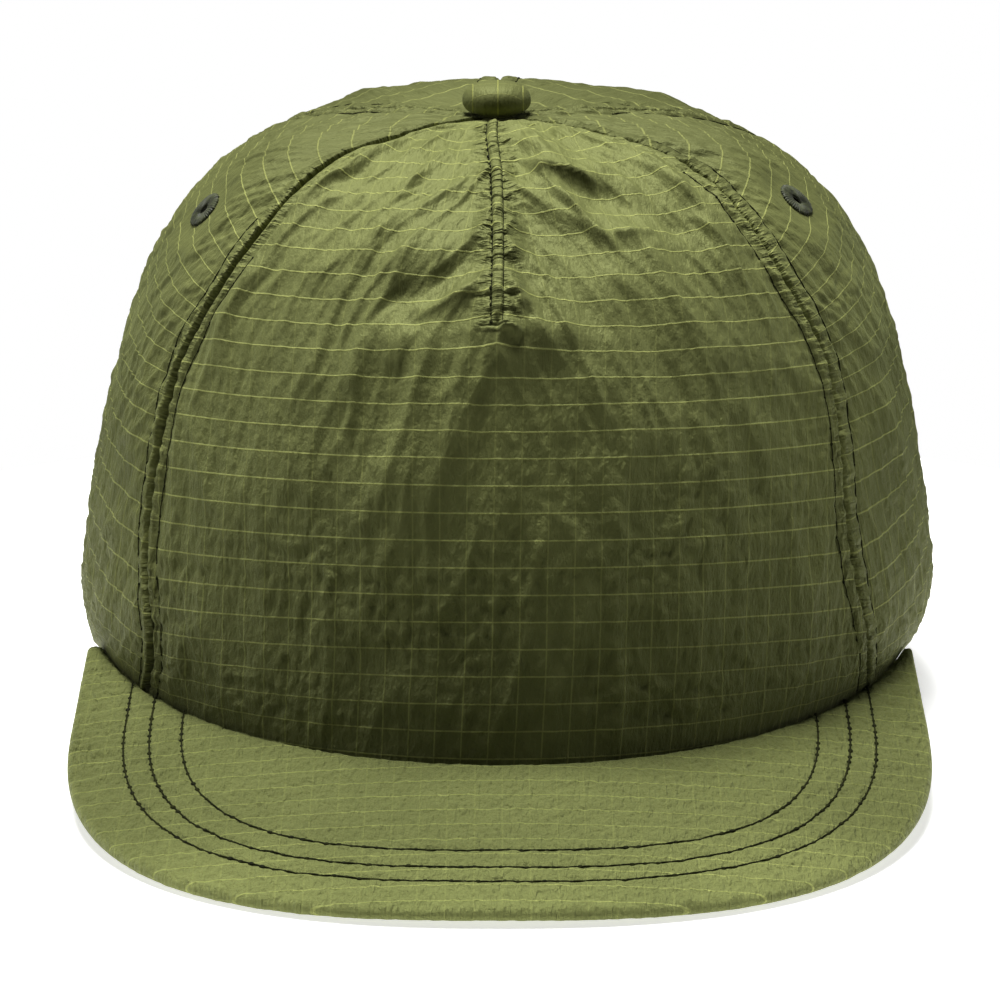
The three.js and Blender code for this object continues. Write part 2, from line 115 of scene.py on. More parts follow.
# Sharp small folds of the front: azimuth and arc of three places along each one, half width and height
SHARP_FOLDS = [
    (-34, 150, -39, 132, -46, 112, 1.8, 0.9),
    (-46, 106, -47, 88, -46, 71, 2.2, 0.5),
    (-34, 144, -37, 128, -42, 113, 3, -0.7),
    (-12, 149, -20, 131, -23, 116, 1.7, 1.0),
    (-23, 116, -24, 109, -24, 102, 1.6, 0.5),
    (-18, 138, -20, 126, -22, 114, 2, -0.5),
    (-6, 132, -13, 124, -20, 115, 1.7, 1.1),
    (-8, 128, -13, 118, -19, 111, 2.2, -1.0),
    (-34, 137, -31, 120, -33, 105, 1.2, 0.35),
    (-38, 128, -38, 118, -39, 106, 1.2, 0.3),
    (-16, 112, -19, 101, -22, 90, 1.3, 0.5),
    (-22, 90, -23, 82, -23, 72, 1.5, 0.45),
    (-12, 112, -12, 106, -14, 102, 1.2, 0.4),
    (-4, 101, -10, 96, -15, 92, 1.8, 1.2),
    (-15, 92, -16, 86, -16, 80, 1.5, 0.5),
    (-2, 91, 0, 90, 2, 88, 1.6, 1.2),
    (-2, 88, -4, 82, -4, 76, 2.2, 0.5),
    (-11, 94, -12, 84, -15, 71, 2.2, 0.5),
    (-7, 88, -8, 80, -11, 70, 2, 0.4),
    (11, 160, 12, 146, 10, 131, 3.5, 1.0),
    (5, 131, 13, 130, 23, 125, 1.8, 1.4),
    (10, 130, 14, 116, 20, 108, 1.7, 1.2),
    (17, 112, 22, 112, 28, 112, 1.6, 0.7),
    (29, 155, 22, 142, 23, 130, 2.2, -1.0),
    (34, 154, 32, 144, 34, 136, 2, 0.9),
    (36, 138, 38, 128, 38, 116, 1.8, 0.9),
    (38, 116, 38, 106, 40, 96, 1.8, 0.6),
    (-1, 100, 1, 98, 2, 92, 2, 1.4),
    (2, 106, 2, 102, 4, 98, 2.2, -0.8),
    (2, 118, 0, 115, -1, 112, 1.6, 0.8),
    (2, 111, 0, 108, -1, 107, 1.5, 0.6),
    (4, 102, 7, 95, 10, 86, 1.4, 0.6),
    (10, 86, 12, 76, 13, 67, 1.6, 0.5),
    (24, 110, 26, 98, 31, 84, 1.5, 0.6),
    (8, 104, 14, 98, 18, 90, 2.5, -0.4),
    (14, 91, 15, 84, 15, 76, 1.4, 0.3),
    (30, 105, 32, 98, 34, 88, 1.4, 0.35),
    (3, 133, 13, 131, 24, 126, 6.5, 1.5),
    (6, 156, 10, 148, 12, 138, 5, 0.8),
    (-12, 90, -1, 89, 10, 91, 13, 1.3),
    (-3, 86, -13, 55, -20, 22, 6, 0.6),
    (2, 86, 13, 55, 21, 22, 6, 0.5),
    (-48, 95, -48, 84, -48, 70, 1.4, 0.35),
    (-36, 100, -36, 88, -34, 76, 1.5, 0.3),
    (-28, 96, -29, 85, -29, 72, 1.5, 0.3),
]

# Falloff of a sharp fold, the taper at its ends, and factors on the table's widths and heights
SHARP_POWER = 0.6
SHARP_TAPER = 0.3
SHARP_WIDTH = 0.85
CREST_GAIN = 1.6
VALLEY_GAIN = 0.4

# Width, length and height of the long folds that fan out from the dart, and of those elsewhere
FAN_FOLDS = ((14, 50, 0.6), (7, 34, 0.88), (3.2, 18, 0.4))
LOW_FOLDS = ((13, 50, 1.0), (6, 30, 0.5), (2.6, 14, 0.3))
SIDE_FOLDS = ((13, 42, 0.45), (6, 24, 0.55), (2.6, 14, 0.26))
BACK_FOLDS = ((14, 44, 0.5), (6, 24, 0.35))
FAN_LEAN = 0.8
SIDE_LEAN = {"side_panel_left": 0.55, "side_panel_right": -0.3}
BACK_LEAN = 0.15

# Strength of the crumple, and its share low on the front and on the other panels
CRUMPLE = 0.6
CALM_LOW = 0.5
CALM_ELSEWHERE = 0.4

# Strength of the fine crinkle low on the front, its drop higher up, and its strength on the other panels
CRINKLE_LOW = 3.2
CRINKLE_DROP = 2.8
CRINKLE_ELSEWHERE = 2.0

# Each panel: seams on its two sides, how each edge is sewn, its middle in degrees, columns and noise seed
PANEL_COLUMNS = (
    "name", "node", "from_seam", "to_seam", "from_edge", "to_edge", "middle", "columns", "seed",
)
PANELS = [
    ("front_cloth", "front_panel", "front_left", "front_right", "tucked", "plain", -2, 300, 11),
    ("side_cloth_left", "side_panel_left", "back_left", "front_left", "plain", "lip", -84, 144, 23),
    ("side_cloth_right", "side_panel_right", "front_right", "back_right", "pressed", "plain", 84, 144, 37),
    ("back_cloth_left", "back_panel_left", "rear_left", "back_left", "plain", "plain", -146, 140, 41),
    ("back_cloth_right", "back_panel_right", "back_right", "rear_right", "plain", "plain", 146, 140, 59),
]
EDGES = ("from_edge", "to_edge")
PANEL_ROWS = 276
COARSE = 4

# Places where a panel's columns stand closer together: share of its width, half width and extra columns
EDGE_PACKING = [(0, 0.03, 2.0), (1, 0.03, 2.0)]
DART_PACKING = [(0.5, 0.035, 1.2)]

# The ripstop's rows: dip at the dart, rise beside the front seams and tilt low and high on the sides
ROW_DIP = 2.0
ROW_RISE = 3
LOW_TILT = 0.22
HIGH_TILT = 0.5

# Painted light and shade in the cloth's colour: its tone at the rim, darker low on the crown where the
# overhead light falls off, its change at the top, and the tone between them
FRONT_SHADE_TONES = (0.61, 0.08)
OTHER_SHADE_TONES = (0.71, -0.3)
MIDDLE_SHADE_TONE = 0.95

# Places of the eyelets: azimuth in degrees and arc
EYELETS = {"left": (-74, 109), "right": (70, 113)}
EYELET_RADIUS = 4.3
EYELET_BORE = 1.2
EYELET_HEIGHT = 1.3
EYELET_THREADS = 44
HOLE_RADIUS = EYELET_RADIUS * 0.62

# Bill
BILL_THICKNESS = 2.6
BILL_HALF_WIDTH = 90.3
BILL_SHIFT = -0.5
BILL_FRONT = 157.0
BILL_CORNER_START = 68.0
BILL_CORNER_POWER = 2.45
BILL_TIP_REACH = 32.0
BILL_SLOPE = math.radians(8.5)
BILL_SAG = 6.0
SAG_HALF_WIDTH = 88.0
JOIN_REACH = 95.0
JOIN_HEIGHT = 12.4
RIM_FLAT_FROM = math.radians(106)
BILL_CELL = 6.0
STITCH_ROWS = (11.6, 17.0, 23.7)
JOIN_GAP = 0.12
BILL_UP = (0.0, -math.sin(BILL_SLOPE), math.cos(BILL_SLOPE))
UNDER_RELIEF = 0.5
# Painted light and shade in the bill's colour: its base tone, lighter towards the front edge away from the
# crown's shade, and darker on the wings
BILL_TONE = 0.97
BILL_FRONT_PAINTED_LIGHT = 0.32
BILL_WING_PAINTED_SHADE = -0.07
BILL_COLUMNS = 400
BILL_TOP_STEPS = 116
BILL_UNDER_STEPS = 40
BILL_EDGE_STEPS = 10
CHUNK = 8000

# Button
BUTTON_RADIUS = 7.5
BUTTON_HEIGHT = 7.2
BUTTON_WAIST = 3.0
SHANK_RADIUS = 2.5
BUTTON_TONE = 0.8
NO_SEAM = 20.0
CROWN_SHIFT_AT_TOP = -1.2

# Sewing
TOPSTITCH = 4.2
LIP_WIDTH = 1.9
LIP_STITCH = 3.8
DART_END = 91.0
DART_TOP = 158
DART_HALF = 1.05
DART_ROW_LEFT = 0.15
DART_ROW_RIGHT = 0.05
DART_SLOPE = 0.18
LIP_HEIGHT = 0.9
BAND_HEIGHT = 0.4
STRIP_HEIGHT = 0.55
PUCKER_SHARE = 0.5

# Depth of the topstitch groove and of the seam itself for each way of sewing an edge
GROOVE_DEPTH = {"lip": 0.35, "tucked": 0.45, "plain": 0.45, "pressed": 0.7}
SEAM_DEPTH = {"lip": 0.5, "tucked": 1.6, "plain": 0.7, "pressed": 0.7}

# How far up the cloth each topstitch row shows
STITCH_START = 3.5
STITCH_TOP = {
    ("front_cloth", "from_edge"): 102, ("front_cloth", "to_edge"): 128,
    ("side_cloth_left", "to_edge"): 112, ("side_cloth_right", "from_edge"): 158,
}
STITCH_TOP_ELSEWHERE = 150

# Each kind of stitch row: length of a stitch, radius of the thread and radius of the needle dots
STITCHES = {
    "seam": (3.3, 0.1, 0.3),
    "pressed": (3.3, 0.14, 0.3),
    "dart_left": (2.0, 0.07, 0.42),
    "dart_right": (2.2, 0.07, 0.12),
    "bill": (2.6, 0.18, 0.52),
}
STITCH_SHARES = (0.0, 0.12, 0.35, 0.65, 0.88, 1.0)
STITCH_RISES = (-0.25, 0.06, 0.13, 0.13, 0.06, -0.25)
THREAD_SIDES = 6
DOT_TURNS = 8
DOT_LEVELS = 4

# Colours: dark and light cloth, the thick threads of the grid, and dark and light sewing thread
CROWN_DYES = (0.17, 0.183, 0.07), (0.21, 0.225, 0.087)
BILL_DYES = (0.215, 0.235, 0.09), (0.25, 0.272, 0.105)
CROWN_GRID = (0.58, 0.61, 0.22)
BILL_GRID = (0.52, 0.56, 0.2)
BUTTON_GRID = (0.55, 0.57, 0.18)
THREAD_DYES = (0.014, 0.016, 0.005), (0.036, 0.04, 0.011)
EYELET_DYES = (0.03, 0.036, 0.014), (0.09, 0.105, 0.038)

# The grid's lines, the shaded puckers beside the seams, and noises by scale, detail and roughness
LINE_WIDTH = 0.029
LINE_HEIGHT = 0.12
PUCKER_REACH = 5.0
PUCKER_HEIGHT = 1.6
UNEVEN_THREAD = (220, 2)
DYE_PATCHES = (26, 5, 0.6)
THREAD_GRAIN = (1.5, 5, 0.6)
CLOTH_GRAIN = (520, 6, 0.62)

# Studio: the floor, the lights (name, place in metres, size, power) and the camera
FLOOR_RADIUS = 0.24
FLOOR_SIDES = 96
FLOOR_DROP = 0.0005
LIGHTS = (
    ("top_light", (-0.22, 0.42, 2.4), 0.9, 92),
    ("left_light", (-1.8, 0.25, 0.7), 0.8, 8),
    ("right_light", (1.8, 0.25, 0.7), 0.8, 6.5),
)
LIGHT_AIM = (0, 0, 0.06)
WORLD_SEEN = 1.0
WORLD_LIGHT = 0.03
CAMERA_DISTANCE = 950.0
CAMERA_ELEVATION = math.radians(16)
CAMERA_AIM = (-0.45, 0, 39.8)
FOCAL_PIXELS = 4232.0
PHOTO_PIXELS = 1000
SENSOR = 36


def columns(names, rows):
    """A table's columns by name."""
    data = np.array(rows, float)
    return {name: data[:, k] for k, name in enumerate(names)}


SECTION = columns(SECTION_COLUMNS, SECTIONS)
SEAM = columns(SEAM_COLUMNS, SEAMS)
TOP_ARC = SECTION["arc"][-1]
button_low, button_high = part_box("top_button")
CROWN_AXIS = np.array([
    (button_low.x + button_high.x) / 2 / MM - CROWN_SHIFT_AT_TOP,
    (button_low.y + button_high.y) / 2 / MM,
    0.0,
])


def to_frame(points):
    """Points about the crown's axis in mm, as points of the shared frame in metres."""
    return (np.asarray(points) + CROWN_AXIS) * MM


def smooth(value):
    """An even rise from 0 to 1, held at both ends."""
    held = np.clip(value, 0, 1)
    return held * held * (3 - 2 * held)


def bell(distance, width):
    """A bump of height 1 with soft sides."""
    return np.exp(-(distance / width) ** 2)


def bill_top(x, y):
    """Height of the bill's smooth top."""
    return JOIN_HEIGHT + math.tan(BILL_SLOPE) * (y + JOIN_REACH) - BILL_SAG * (x / SAG_HALF_WIDTH) ** 2


def rim_height(azimuth):
    """Height of the crown's rim, which follows the bill's underside and then comes down to the floor."""
    front, side = SECTION["front"][0], SECTION["side"][0]
    tip = math.acos(BILL_TIP_REACH / front)
    held = np.minimum(np.abs(azimuth), tip)
    under = bill_top(side * np.sin(held), -front * np.cos(held)) - BILL_THICKNESS
    return under * smooth((RIM_FLAT_FROM - np.abs(azimuth)) / (RIM_FLAT_FROM - tip))


def section_point(row, azimuth):
    """Points of one level section of the crown."""
    c = np.cos(azimuth)
    x = SECTION["side"][row] * np.sin(azimuth) + SECTION["shift"][row]
    y = np.where(c > 0, -SECTION["front"][row] * c, -SECTION["back"][row] * c)
    side_height = SECTION["high_side"][row]
    end_height = np.where(c > 0, SECTION["high_front"][row], SECTION["high_back"][row])
    z = side_height + (end_height - side_height) * c * c if row else rim_height(azimuth)
    return np.stack([x, y, z], -1)


def spline_weights(stations, value):
    """Rows and weights of a spline through uneven stations."""
    last = len(stations) - 1
    low = np.clip(np.searchsorted(stations, value, side="left") - 1, 0, last - 1)
    high = low + 1
    before = np.maximum(low - 1, 0)
    after = np.minimum(low + 2, last)
    span = stations[high] - stations[low]
    t = (value - stations[low]) / span
    lead = span / (stations[high] - stations[before])
    trail = span / (stations[after] - stations[low])
    rise = t * t * (3 - 2 * t)
    start = t * (1 - t) ** 2
    end = t * t * (t - 1)
    rows = (low, high, before, after)
    return rows, (1 - rise - end * trail, rise + start * lead, -start * lead, end * trail)


def crown(azimuth, arc):
    """Points of the smooth crown without its folds."""
    azimuth, arc = np.broadcast_arrays(np.asarray(azimuth, float), np.asarray(arc, float))
    levels = np.stack([section_point(row, azimuth) for row in range(len(SECTIONS))])
    rows, weights = spline_weights(SECTION["arc"], arc)
    total = np.zeros(azimuth.shape + (3,))
    for row, weight in zip(rows, weights):
        picked = np.take_along_axis(levels, np.broadcast_to(row, azimuth.shape)[None, ..., None], 0)[0]
        total += picked * weight[..., None]
    return total


def seam_azimuth(name, arc):
    rows, weights = spline_weights(SEAM["arc"], arc)
    return np.radians(sum(SEAM[name][row] * weight for row, weight in zip(rows, weights)))


def is_front(panel):
    return panel["node"] == "front_panel"


def is_side(panel):
    return panel["node"].startswith("side_panel")


def hand_of(panel):
    return panel["node"].rsplit("_", 1)[-1]


def unit(vectors):
    return vectors / np.maximum(np.linalg.norm(vectors, axis=-1, keepdims=True), 1e-9)


def noise(x, y, seed):
    """Smooth gradient noise, about -1 to 1, one hill in each unit."""
    x, y = np.broadcast_arrays(np.asarray(x, float), np.asarray(y, float))
    cell_x, cell_y = np.floor(x).astype(np.int64), np.floor(y).astype(np.int64)
    part_x, part_y = x - cell_x, y - cell_y
    fade_x = part_x ** 3 * (part_x * (part_x * 6 - 15) + 10)
    fade_y = part_y ** 3 * (part_y * (part_y * 6 - 15) + 10)
    corners = []
    for step_x in (0, 1):
        for step_y in (0, 1):
            mixed = (cell_x + step_x) * 374761393 + (cell_y + step_y) * 668265263 + seed * 144665
            mixed = (mixed & 0xFFFFFFFF) ^ ((mixed & 0xFFFFFFFF) >> 13)
            mixed = (mixed * 1274126177) & 0xFFFFFFFF
            turn = ((mixed ^ (mixed >> 16)) & 0xFFFF) / 65536 * 2 * math.pi
            corners.append(np.cos(turn) * (part_x - step_x) + np.sin(turn) * (part_y - step_y))
    low = corners[0] + (corners[1] - corners[0]) * fade_y
    high = corners[2] + (corners[3] - corners[2]) * fade_y
    return (low + (high - low) * fade_x) * 1.5


def crease(x, y, seed):
    """Flat facets that meet in sharp ridges and valleys, as in crumpled thin cloth."""
    ridge = np.sqrt(noise(x, y, seed) ** 2 + 0.006)
    valley = np.sqrt(noise(x + 7.3, y - 3.1, seed + 17) ** 2 + 0.006)
    return valley - ridge


def ridges(x, y, seed):
    """Narrow crests with smooth hollows between them, 0 to 1."""
    return np.clip(1 - 1.25 * np.sqrt(noise(x, y, seed) ** 2 + 0.001), 0, 1) ** 3


def crumple(across, along, seed, strength):
    """Height of the cloth's crumple at weave coordinates in mm."""
    warp_across = across + 4 * noise(across / 19, along / 19, seed + 1)
    warp_along = along + 5 * noise(across / 23, along / 23, seed + 2)
    patches = 0.75 + 0.5 * noise(across / 45, along / 38, seed + 3)
    height = 0.9 * crease(warp_across / 24, warp_along / 30, seed + 4)
    height += 0.38 * crease(warp_across / 11, warp_along / 15, seed + 5)
    height += 0.14 * patches * crease(warp_across / 4.6, warp_along / 7, seed + 6)
    height += 0.05 * patches * noise(warp_across / 1.6, warp_along / 2.6, seed + 7)
    return strength * height


def line_height(points, line, width, height, sharpness, taper):
    """Height of one fold along a line of points, fading out over the taper share at its ends."""
    total = np.zeros(points.shape[:-1])
    reach = 4 * width
    near = np.all((points > line.min(0) - reach) & (points < line.max(0) + reach), axis=-1)
    if not near.any():
        return total
    here = points[near]
    best = np.full(len(here), 1e9)
    place = np.zeros(len(here))
    for k, (start, end) in enumerate(zip(line[:-1], line[1:])):
        step = end - start
        share = np.clip((here - start) @ step / (step @ step), 0, 1)
        squared = ((here - start - share[:, None] * step) ** 2).sum(-1)
        closer = squared < best
        best[closer] = squared[closer]
        place[closer] = (k + share[closer]) / (len(line) - 1)
    ends = smooth(place / taper) * smooth((1 - place) / taper) if taper else 1
    total[near] = height * ends * np.exp(-(best / width ** 2) ** sharpness)
    return total


def fold_height(points):
    """Height of the soft folds near each point of the smooth crown."""
    total = np.zeros(points.shape[:-1])
    for azimuth, arc, to_azimuth, to_arc, width, height in FOLDS:
        line = crown(
            np.radians(np.linspace(azimuth, to_azimuth, FOLD_STEPS + 1)),
            np.linspace(arc, to_arc, FOLD_STEPS + 1),
        )
        total += line_height(points, line, width, height, SOFT_POWER, 0)
    return total


def sharp_fold_height(points):
    """Height of the small sharp folds, each a bend through three places."""
    total = np.zeros(points.shape[:-1])
    share = np.linspace(0, 1, FOLD_STEPS + 1)
    early, late = 2 * (share - 0.5) * (share - 1), 2 * share * (share - 0.5)
    middle = 4 * share * (1 - share)
    for *places, width, height in SHARP_FOLDS:
        azimuth = places[0] * early + places[2] * middle + places[4] * late
        arc = places[1] * early + places[3] * middle + places[5] * late
        line = crown(np.radians(azimuth), arc)
        height = height * (CREST_GAIN if height > 0 else VALLEY_GAIN)
        total += line_height(points, line, SHARP_WIDTH * width, height, SHARP_POWER, SHARP_TAPER)
    return total


def packed_steps(count, places):
    """Shares from 0 to 1, closer together near the given (share, width, extra) places."""
    fine = np.linspace(0, 1, 4001)
    density = np.ones_like(fine)
    for place, width, extra in places:
        density += extra * bell(fine - place, width)
    total = np.concatenate([[0], np.cumsum((density[1:] + density[:-1]) / 2)])
    return np.interp(np.linspace(0, total[-1], count + 1), total, fine)


def edge_height(distance, kind):
    """Relief of a sewn edge: the turned seam, the doubled band beside it and the topstitch groove."""
    groove, seam = GROOVE_DEPTH[kind], SEAM_DEPTH[kind]
    if kind == "lip":
        roll = LIP_HEIGHT * smooth(distance / 0.4) * smooth((LIP_WIDTH - distance) / 0.7)
        return roll - groove * bell(distance - LIP_STITCH, 0.5) - seam * bell(distance, 0.3)
    pressed = -groove * bell(distance - TOPSTITCH, 0.6)
    band = BAND_HEIGHT * smooth(distance / 0.9) * smooth((TOPSTITCH + 0.9 - distance) / 1.2)
    if kind == "tucked":
        return pressed + band * 0.6 - seam * np.exp(-distance / 0.6)
    return pressed + band - seam * bell(distance, 0.5)


def panel_grid(panel):
    """A panel's smooth surface: its points, outward directions and distances along the cloth."""
    middle = math.radians(panel["middle"])
    places = EDGE_PACKING + (DART_PACKING if is_front(panel) else [])
    share = packed_steps(panel["columns"], places)[:, None]
    arc = np.linspace(0, TOP_ARC, PANEL_ROWS + 1)[None, :]
    low, high = seam_azimuth(panel["from_seam"], arc), seam_azimuth(panel["to_seam"], arc)
    base = crown(low + (high - low) * np.array([[0.0], [1.0]]), arc)
    width = np.abs(high - low) * np.hypot(base[0, :, 0], base[0, :, 1])[None, :]
    inset = GAP / 2 / np.maximum(width, 1)
    azimuth = low + (high - low) * (inset + (1 - 2 * inset) * share)
    arc = np.broadcast_to(arc, azimuth.shape)
    smooth_points = crown(azimuth, arc)
    normal = unit(np.cross(np.gradient(smooth_points, axis=0), np.gradient(smooth_points, axis=1)))
    steps = np.linalg.norm(np.diff(smooth_points, axis=0), axis=-1)
    across = np.concatenate([np.zeros((1, steps.shape[1])), np.cumsum(steps, 0)])
    from_edge = across + GAP / 2
    to_edge = across[-1:] - across + GAP / 2
    centre = np.array([np.interp(middle, azimuth[:, k], across[:, k]) for k in range(azimuth.shape[1])])
    across = across - centre[None, :]
    return {
        "azimuth": azimuth, "arc": arc, "points": smooth_points, "normal": normal, "across": across,
        "from_edge": from_edge, "to_edge": to_edge, "panel": panel,
    }


def pucker(along, distance, reach, seed):
    """Small waves that a tight stitch line draws into the cloth beside it."""
    waves = noise(along / 1.9, distance / 7 + 3, seed) + 0.6 * noise(along / 3.6, distance / 11, seed + 1)
    return waves * np.exp(-((distance / reach) ** 1.4))


def dart_relief(grid, seed):
    """The raised strip of the centre dart, its two stitch lines and the puckers beside it."""
    off = grid["across"]
    on = smooth((grid["arc"] - DART_END) / 3) * smooth((DART_TOP + 4 - grid["arc"]) / 4)
    strip = STRIP_HEIGHT * smooth((DART_HALF + 0.35 - np.abs(off)) / 0.5)
    grooves = -0.5 * bell(off + DART_HALF + DART_ROW_LEFT, 0.38)
    grooves = grooves - 0.35 * bell(off - DART_HALF - DART_ROW_RIGHT, 0.25)
    waves = 0.6 * pucker(grid["arc"], np.abs(off), 5.5, seed)
    waves = waves + 0.2 * noise(grid["arc"] / 1.3, off / 5, seed + 9) * bell(off, 3.6)
    ribs = 0.12 * noise(grid["arc"] / 1.1, off / 4, seed + 5) * bell(off, DART_HALF)
    from_tip = np.hypot(off, (grid["arc"] - DART_END) * 0.8)
    return on * (strip + grooves + waves + ribs) - 0.9 * np.exp(-1.5 * from_tip)


def straight_rows(panel, grid):
    """Length up the cloth, with rows that run straight over the panel where it narrows to the button."""
    turned = grid["azimuth"] - math.radians(panel["middle"])
    arc = grid["arc"]
    return TOP_ARC - (TOP_ARC - arc) * (1 - smooth((arc - 95) / 40) * (1 - np.cos(turned)))


def weave_coordinates(panel, grid):
    """Ripstop coordinates in cells: across and up the cloth."""
    across, arc = grid["across"], grid["arc"]
    if is_front(panel):
        side = np.where(across < DART_HALF, -1, 1)
        taken = DART_SLOPE * np.maximum(arc - DART_END, 0)
        dip = ROW_DIP * np.exp(-np.abs(across) / 9) * smooth((arc - 80) / 12)
        up = arc - FIRST_ROW + ROW_RISE * (grid["azimuth"] / math.radians(56)) ** 2 - dip
        return np.stack([(across + side * taken) / CELL, up / CELL], -1)
    if is_side(panel):
        forward = -across if panel["middle"] > 0 else across
        tilt = LOW_TILT * np.clip(1 - arc / 78, 0, 1) + HIGH_TILT * smooth((arc - 60) / 50)
        return np.stack([across / CELL + 0.3, (arc + tilt * forward) / CELL], -1)
    return np.stack([across / CELL, (straight_rows(panel, grid) - FIRST_ROW) / CELL], -1)


def gathers(over, along, seed, sizes):
    """Long folds that run along one direction; sizes are (width, length, height) in mm."""
    total = 0
    for k, (width, length, height) in enumerate(sizes):
        total = total + height * ridges(over / width, along / length, seed + 5 * k)
        total = total + 0.35 * height * noise(over / width, along / length, seed + 5 * k + 2)
    return total


def fan_folds(across, arc, seed):
    """Folds that fan out down both sides of the dart and run straight down lower on the front."""
    lean = FAN_LEAN * np.where(arc > 110, arc - 80, np.maximum(arc - 50, 0) ** 2 / 120)
    strong = smooth((arc - 72) / 28)
    total = 0
    for side in (-1, 1):
        share = smooth((side * across + 4) / 8)
        over = side * across + lean + 2.0 * noise(across / 15, arc / 20, seed + side)
        high = gathers(over, arc, seed + 40 * side, FAN_FOLDS)
        low = gathers(over, arc, seed + 43 * side, LOW_FOLDS)
        total = total + share * (strong * high + (1 - strong) * low)
    return total


def slanted_folds(panel, across, arc, seed):
    """Folds that lean forward as they rise in a side panel, and run nearly straight up at the back."""
    lean = SIDE_LEAN.get(panel["node"], BACK_LEAN)
    over = across - lean * arc + 2.5 * noise(across / 17, arc / 21, seed + 1)
    sizes = SIDE_FOLDS if is_side(panel) else BACK_FOLDS
    return gathers(over, arc + lean * across, seed + 2, sizes)


def crinkle(weave, seed):
    """Fine crinkles across the rows of thick threads, held flat along each row."""
    across, up = weave[..., 0] * CELL, weave[..., 1]
    free = 0.3 + 0.7 * np.sin(math.pi * up) ** 2
    wander = across + 0.9 * noise(across / 5, up, seed)
    fine_lines = 0.16 * noise(wander / 1.5, up / 1.05, seed + 1)
    lines = fine_lines + 0.3 * crease(wander / 3.8, up / 0.9, seed + 2)
    patches = 0.6 + 0.7 * noise(across / 24, up / 4, seed + 3)
    return free * np.clip(patches, 0.1, 1.3) * lines


def relief(panel, grid):
    """Height of the folds that both sides of the cloth share, and of the outside's fine relief."""
    arc, across, seed = grid["arc"], grid["across"], panel["seed"]
    edge = np.minimum(grid["from_edge"], grid["to_edge"])
    calm, lively = CALM_ELSEWHERE, CRINKLE_ELSEWHERE
    if is_front(panel):
        calm = CALM_LOW + (1 - CALM_LOW) * smooth((arc - 45) / 45)
        lively = CRINKLE_LOW - CRINKLE_DROP * smooth((arc - 35) / 50)
    shared = smooth(arc / 12) * smooth((TOP_ARC - arc) / 14) * fold_height(grid["points"])
    crumpled = crumple(across, arc, seed, CRUMPLE)
    shared = shared + calm * smooth(arc / 10) * smooth((TOP_ARC - arc) / 10) * crumpled
    near_top = smooth(arc / 12) * smooth((TOP_ARC - 2 - arc) / 9)
    if is_front(panel):
        shared = shared + near_top * fan_folds(across, arc, seed + 30)
        shared = shared + near_top * sharp_fold_height(grid["points"])
    else:
        shared = shared + near_top * slanted_folds(panel, across, arc, seed + 30)
    shared = shared + near_top * lively * crinkle(weave_coordinates(panel, grid), seed + 50)
    if is_side(panel):
        azimuth, eyelet_arc = EYELETS[hand_of(panel)]
        away = np.linalg.norm(grid["points"] - crown(math.radians(azimuth), eyelet_arc), axis=-1)
        shared = shared * smooth((away - EYELET_RADIUS - 0.5) / 7)
    fine = np.zeros_like(arc)
    for k, side in enumerate(EDGES):
        distance, kind = grid[side], panel[side]
        here = smooth((TOP_ARC - arc) / 6)
        drawn = PUCKER_SHARE
        if kind in ("lip", "tucked"):
            here = here * (1 - 0.25 * smooth((arc - 85) / 35))
            drawn = drawn - 0.38 * smooth((arc - 70) / 25)
        if kind == "lip":
            drawn = drawn * smooth((distance - 1) / 3)
        fine = fine + here * edge_height(distance, kind)
        fine = fine + here * drawn * pucker(arc, np.abs(distance - 2.2), 3.6, seed + 61 + k)
    if is_front(panel):
        fine = fine + dart_relief(grid, seed + 80)
    fine = fine - 0.5 * bell(arc, 0.6)
    return shared * (0.55 + 0.45 * smooth(edge / 6)), fine


def mesh_object(name, points, faces, material, flat_from=None, **layers):
    """A piece from points in mm, with named coordinate layers; its faces from flat_from on are flat."""
    mesh = bpy.data.meshes.new(name)
    mesh.from_pydata(to_frame(points).tolist(), [], faces)
    smooth_flags = np.ones(len(faces), bool)
    if flat_from is not None:
        smooth_flags[flat_from:] = False
    mesh.polygons.foreach_set("use_smooth", smooth_flags)
    corners = np.empty(len(mesh.loops), int)
    mesh.loops.foreach_get("vertex_index", corners)
    for layer_name, values in layers.items():
        layer = mesh.uv_layers.new(name=layer_name)
        layer.data.foreach_set("uv", np.asarray(values, np.float32)[corners].ravel())
    mesh.materials.append(material)
    mesh.update()
    piece = bpy.data.objects.new(name, mesh)
    bpy.context.scene.collection.objects.link(piece)
    return piece


def grid_index(shape, close_first=False, close_second=False):
    """Point numbers of a grid, with its first row or column repeated at the end where it closes."""
    index = np.arange(shape[0] * shape[1]).reshape(shape[:2])
    if close_first:
        index = np.concatenate([index, index[:1]], 0)
    if close_second:
        index = np.concatenate([index, index[:, :1]], 1)
    return index


def quads(index, flip=False):
    """Faces between neighbours of a grid of point numbers."""
    ring = (index[:-1, :-1], index[1:, :-1], index[1:, 1:], index[:-1, 1:])
    if flip:
        ring = ring[::-1]
    return np.stack(ring, -1).reshape(-1, 4)


def rim_faces(outer, inner):
    """Faces that join the borders of a fine outer grid and a coarse inner one."""
    faces = []
    sides = (
        (outer[::-1, 0], inner[::-1, 0]),
        (outer[:, -1], inner[:, -1]),
        (outer[0, :], inner[0, :]),
        (outer[-1, ::-1], inner[-1, ::-1]),
    )
    for fine, rough in sides:
        for k in range(len(rough) - 1):
            span = fine[k * COARSE:(k + 1) * COARSE + 1]
            faces.append([*span.tolist(), int(rough[k + 1]), int(rough[k])])
    return faces


def painted_shade_tone(panel, arc):
    """Painted light and shade up the panel: how light the cloth's colour is made, darker near the rim."""
    rim_tone, top_change = FRONT_SHADE_TONES if is_front(panel) else OTHER_SHADE_TONES
    tone = rim_tone + (MIDDLE_SHADE_TONE - rim_tone) * smooth((arc - 5) / 60)
    return tone + top_change * smooth((arc - 112) / 25)


